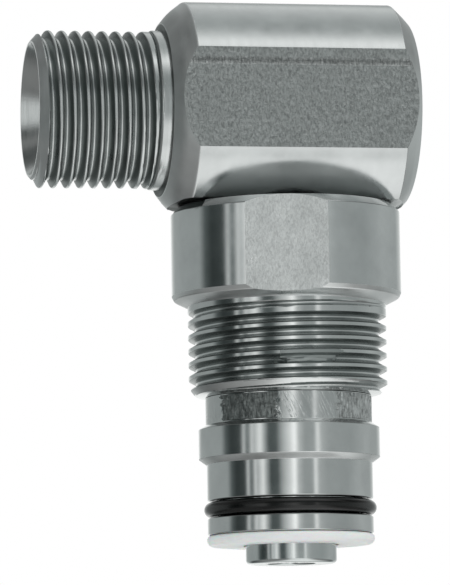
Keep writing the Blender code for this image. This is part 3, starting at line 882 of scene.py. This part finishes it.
def make_nose(metals):
    """Neck and three lands with their ring groove."""
    turned_slot, shaded_torn_slot, lit_torn_slot, lit_cone_slot, scratched_slot = range(5)
    top = BODY_BOTTOM - 0.05
    outer = rounded([
        (NOSE_SPIGOT_R, -13.6), (NOSE_SPIGOT_R, top), (NECK_R, top), (NECK_R, NECK_BOTTOM),
        (12.03, -18.0, 0.12), (12.03, -21.9, 0.15), (LAND_R, -22.65, 0.1), (LAND_R, -27.5, 0.22),
        (9.16, -27.5), (9.16, -29.75), (LAND_R, -29.75, 0.22), (LAND_R, NOSE_END, 0.2),
        (FACE_SEAL_R, NOSE_END)])
    neck_start = outer.index((NECK_R, top))
    outer[neck_start:neck_start + 2] = filled(outer[neck_start:neck_start + 2], NECK_STEP)
    inner = [
        (FACE_SEAL_R, -23.0), (4.6, -23.0), (4.6, -20.5), (NOSE_BORE_R, -20.5), (NOSE_BORE_R, -7.15),
        (7.55, -7.15), (7.55, -6.2), (NOSE_BORE_R, -6.2), (NOSE_BORE_R, 0)]
    spigot = [(NOSE_SPIGOT_R, 0), (NOSE_SPIGOT_R, -1.8), (7.95, -1.8), (7.95, -3.7), (NOSE_SPIGOT_R, -3.7)]
    nose = turned("nose", spigot + outer[1:] + inner, columns=300, relief=neck_relief)

    def pick(face):
        x, y, z = face.center / MM
        out = math.hypot(x, y)
        angle = math.atan2(y, x)
        if NECK_BOTTOM + 0.05 < z < BODY_BOTTOM - 0.15 and abs(out - NECK_R) < 0.5:
            if patch_depth(angle, z, TORN) <= 0:
                return scratched_slot
            # The first patch takes the painted shade, the others the painted light
            return shaded_torn_slot if patch_depth(angle, z, TORN[:1]) > 0 else lit_torn_slot
        # The land's lower chamfer gets painted light
        return lit_cone_slot if face.normal.z < DOWNWARD and out > 10.9 and z > -23 else turned_slot

    finish_piece(nose, "cartridge", ["nose_sleeve"], metals, pick)


def ring_section(mean, wire, z, sides=24):
    """A ring seal's round section, from its outside and down."""
    turns = [2 * math.pi * i / sides for i in range(sides)]
    return [(mean + wire * math.cos(turn), z - wire * math.sin(turn)) for turn in turns]


def make_inlet(black, white, steel):
    """The ring seal in its groove, the white ring on the nose's end, and the nozzle through it."""
    ring = turned("outer_ring_seal", ring_section(10.45, 0.99, -28.625))
    finish_piece(ring, "cartridge", ["nose_o_ring"], [black])
    seal = turned("white_face_seal", rounded([
        (FACE_SEAL_R, -32.05), (11.1, -32.05, 0.5), (11.1, -33.45, 0.75), (FACE_SEAL_R, -33.45)]))
    finish_piece(seal, "cartridge", ["face_seal"], [white])
    nozzle = turned("nozzle", rounded([
        (INLET_BORE_R, -24.6), (NOZZLE_R, -24.6, 0.3), (NOZZLE_R, -25.55), (4.47, -25.55), (4.47, -27.45),
        (NOZZLE_R, -27.45), (NOZZLE_R, -35.9, 0.55), (INLET_BORE_R, -35.9, 0.3)]))
    finish_piece(nozzle, "cartridge", ["inlet_nozzle"], [steel])


def make_spring(steel):
    """The poppet's spring, swept round a helix."""
    radius = 3.4
    wire = 0.35
    turns = 7.5
    low = -18.15
    high = -9.65
    steps = int(turns * 40)
    sides = 14
    vertices = []
    for k in range(steps + 1):
        along = k / steps
        angle = 2 * math.pi * turns * along
        out = Vector((math.cos(angle), math.sin(angle), 0))
        centre = out * radius + Vector((0, 0, low + (high - low) * along))
        for j in range(sides):
            turn = 2 * math.pi * j / sides
            rise = Vector((0, 0, wire * math.sin(turn)))
            vertices.append(upright(*(centre + out * wire * math.cos(turn) + rise)))
    faces = []
    for k in range(steps):
        here = k * sides
        beyond = here + sides
        for j in range(sides):
            side = (j + 1) % sides
            faces.append([here + j, here + side, beyond + side, beyond + j])
    faces += [list(range(sides))[::-1], [steps * sides + j for j in range(sides)]]
    mesh = bpy.data.meshes.new("coil_spring")
    mesh.from_pydata(vertices, [], faces)
    spring = bpy.data.objects.new("coil_spring", mesh)
    bpy.context.scene.collection.objects.link(spring)
    finish_piece(spring, "cartridge", ["poppet_spring"], [steel])
    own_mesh(spring)


def dress_inner_nodes(finishes):
    """Gives every CAD node that is still shown its finish."""
    for names, material in finishes:
        for name in names:
            for material_slot in NODES[name].material_slots:
                material_slot.material = material


# ---------------------------------------------------------------- the scene

add_camera()
add_floor(pale_floor())
add_studio()

bar_steel = turned_steel("bar_steel", (0.655, 0.675, 0.675), 0.2, axis="X")
spigot_steel = turned_steel("spigot_steel", (0.62, 0.64, 0.638), 0.2, axis="X")
# A darker copy of the spigot's steel as painted shade on the thread's flanks
spigot_flank_painted_shade_steel = turned_steel("spigot_flank_painted_shade_steel", (0.28, 0.305, 0.30), 0.32, axis="X")
bar_flat_steel = milled_steel("bar_flat_steel", (0.45, 0.47, 0.468), 0.36, 0.035, cell=3400,
                              darkest=0.68, mark=29.4)
# Nearly black steel as painted shade in the swivel's gap and round the ring's foot
gap_painted_shade_steel = turned_steel("shaded_gap_steel", (0.12, 0.135, 0.13), 0.42)
collar_top_steel = turned_steel("collar_top_steel", (0.64, 0.66, 0.658), 0.5)
# A lighter copy of the bar's steel as painted light on its chamfers and under its right end
bar_end_painted_light_steel = turned_steel("bar_end_painted_light_steel", (0.84, 0.86, 0.858), 0.42, axis="X")
mouth_steel = turned_steel("mouth_steel", (0.60, 0.62, 0.618), 0.2, axis="X", line_depth=0.014)
collar_steel = turned_steel("collar_steel", (0.655, 0.675, 0.675), 0.10)
bruised_steel = turned_steel("bruised_steel", (0.40, 0.43, 0.425), 0.34, line_depth=0.004)
port_thread_steel = turned_steel("port_thread_steel", (0.65, 0.67, 0.668), 0.11)
# A darker copy of the port thread's steel as painted shade on its flanks
port_flank_painted_shade_steel = turned_steel("port_flank_painted_shade_steel", (0.36, 0.385, 0.38), 0.24)
collar_flat_steel = milled_steel("collar_flat_steel", (0.62, 0.64, 0.638), 0.3, 0.004, cell=4200,
                                 darkest=0.82)
# A lighter copy of the turned steel as painted light on cones and chamfers that look down
cone_painted_light_steel = turned_steel("cone_painted_light_steel", (0.86, 0.88, 0.878), 0.34)
land_steel = turned_steel("land_steel", (0.66, 0.68, 0.678), 0.10)
# Two copies of the torn steel: dark as painted shade on the front-left patch, light as painted light on the
# others
torn_steel_painted_shade = torn_steel("torn_steel_painted_shade", (0.34, 0.365, 0.36), 0.34)
torn_steel_painted_light = torn_steel("torn_steel_painted_light", (0.78, 0.80, 0.798), 0.36)
neck_steel = scratched_steel("scratched_neck_steel", (0.64, 0.66, 0.658), 0.13)
nozzle_steel = turned_steel("nozzle_steel", (0.64, 0.67, 0.668), 0.12)
stem_steel = turned_steel("ground_stem_steel", (0.60, 0.63, 0.63), 0.18)
wire_steel = turned_steel("drawn_wire_steel", (0.42, 0.43, 0.44), 0.25)
bronze = turned_steel("bearing_bronze", (0.60, 0.42, 0.22), 0.3)
black_rubber = rubber("oiled_rubber")
white_plastic = plastic("white_acetal", (0.975, 0.965, 0.965), 0.42, subsurface=0.3)
tan_plastic = plastic("filled_polymer", (0.62, 0.50, 0.36), 0.45)

make_elbow([bar_steel, spigot_steel, bar_flat_steel, spigot_flank_painted_shade_steel, gap_painted_shade_steel, bar_end_painted_light_steel,
            mouth_steel])
make_body([collar_steel, port_thread_steel, collar_flat_steel, port_flank_painted_shade_steel, collar_top_steel,
           bruised_steel, cone_painted_light_steel])
make_nose([land_steel, torn_steel_painted_shade, torn_steel_painted_light, cone_painted_light_steel, neck_steel])
make_inlet(black_rubber, white_plastic, nozzle_steel)
make_spring(wire_steel)
dress_inner_nodes((
    (("swivel_stem", "spring_guide", "poppet"), stem_steel),
    (("elbow_stem_seal", "stem_o_ring_upper", "stem_o_ring_lower", "wiper_ring", "nose_body_o_ring",
      "nozzle_o_ring"), black_rubber),
    (("backup_ring_upper", "backup_ring_lower", "seat_ring"), tan_plastic),
    (("upper_thrust_washer", "lower_thrust_washer", "guide_bush"), bronze),
    (("retaining_ring",), wire_steel),
))
